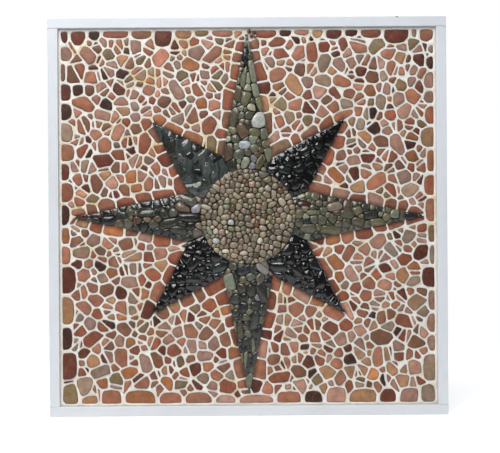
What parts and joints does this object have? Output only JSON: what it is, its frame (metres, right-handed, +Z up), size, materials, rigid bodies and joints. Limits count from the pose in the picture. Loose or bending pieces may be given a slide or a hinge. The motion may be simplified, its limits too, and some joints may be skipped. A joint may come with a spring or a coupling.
{
  "type": "mosaic wall panel",
  "caption": "Square wall panel of crazy-paved stone mosaic in white grout, with a raised eight-point compass star of pebbles, in a white wooden frame.",
  "frame": {"origin": "centre of the panel's back face, where it lies on the wall", "axes": "-Y out of the mosaic face towards the viewer, +Y into the wall, +Z up, +X to the viewer's right"},
  "size_m": [0.6, 0.0351, 0.6],
  "materials": {
    "frame_paint": "satin",
    "backing_board": "matte",
    "grout": "matte",
    "ground_stone": "matte",
    "star_grey_stone": "gloss",
    "star_black_stone": "gloss",
    "centre_pebble": "satin"
  },
  "bodies": {
    "root": {"backing_board": "backing_board", "course_stone_bottom_03": "ground_stone", "course_stone_bottom_04": "ground_stone", "course_stone_bottom_05": "ground_stone", "course_stone_bottom_06": "ground_stone", "course_stone_bottom_07": "ground_stone", "course_stone_bottom_08": "ground_stone", "course_stone_bottom_09": "ground_stone", "course_stone_bottom_10": "ground_stone", "course_stone_bottom_11": "ground_stone", "course_stone_bottom_12": "ground_stone", "course_stone_bottom_14": "ground_stone", "course_stone_left_02": "ground_stone", "course_stone_left_03": "ground_stone", "course_stone_left_04": "ground_stone", "course_stone_left_05": "ground_stone", "course_stone_left_06": "ground_stone", "course_stone_left_07": "ground_stone", "course_stone_left_08": "ground_stone", "course_stone_left_09": "ground_stone", "course_stone_left_11": "ground_stone", "course_stone_left_12": "ground_stone", "course_stone_left_13": "ground_stone", "course_stone_left_14": "ground_stone", "course_stone_left_15": "ground_stone", "course_stone_right_05": "ground_stone", "course_stone_right_06": "ground_stone", "course_stone_right_07": "ground_stone", "course_stone_right_08": "ground_stone", "course_stone_right_09": "ground_stone", "course_stone_right_10": "ground_stone", "course_stone_right_11": "ground_stone", "course_stone_right_12": "ground_stone", "course_stone_right_13": "ground_stone", "course_stone_right_14": "ground_stone", "course_stone_right_16": "ground_stone", "course_stone_top_04": "ground_stone", "course_stone_top_05": "ground_stone", "course_stone_top_06": "ground_stone", "course_stone_top_07": "ground_stone", "course_stone_top_09": "ground_stone", "course_stone_top_11": "ground_stone", "course_stone_top_17": "ground_stone", "course_stone_top_18": "ground_stone", "frame_rail_bottom": "frame_paint", "frame_rail_left": "frame_paint", "frame_rail_right": "frame_paint", "frame_rail_top": "frame_paint", "grout_bed": "grout", "star_centre": "centre_pebble", "star_point_east": "star_grey_stone", "star_point_north": "star_grey_stone", "star_point_northeast": "star_black_stone", "star_point_northwest": "star_black_stone", "star_point_south": "star_grey_stone", "star_point_southeast": "star_black_stone", "star_point_southwest": "star_black_stone", "star_point_west": "star_grey_stone"}
  },
  "joints": []
}
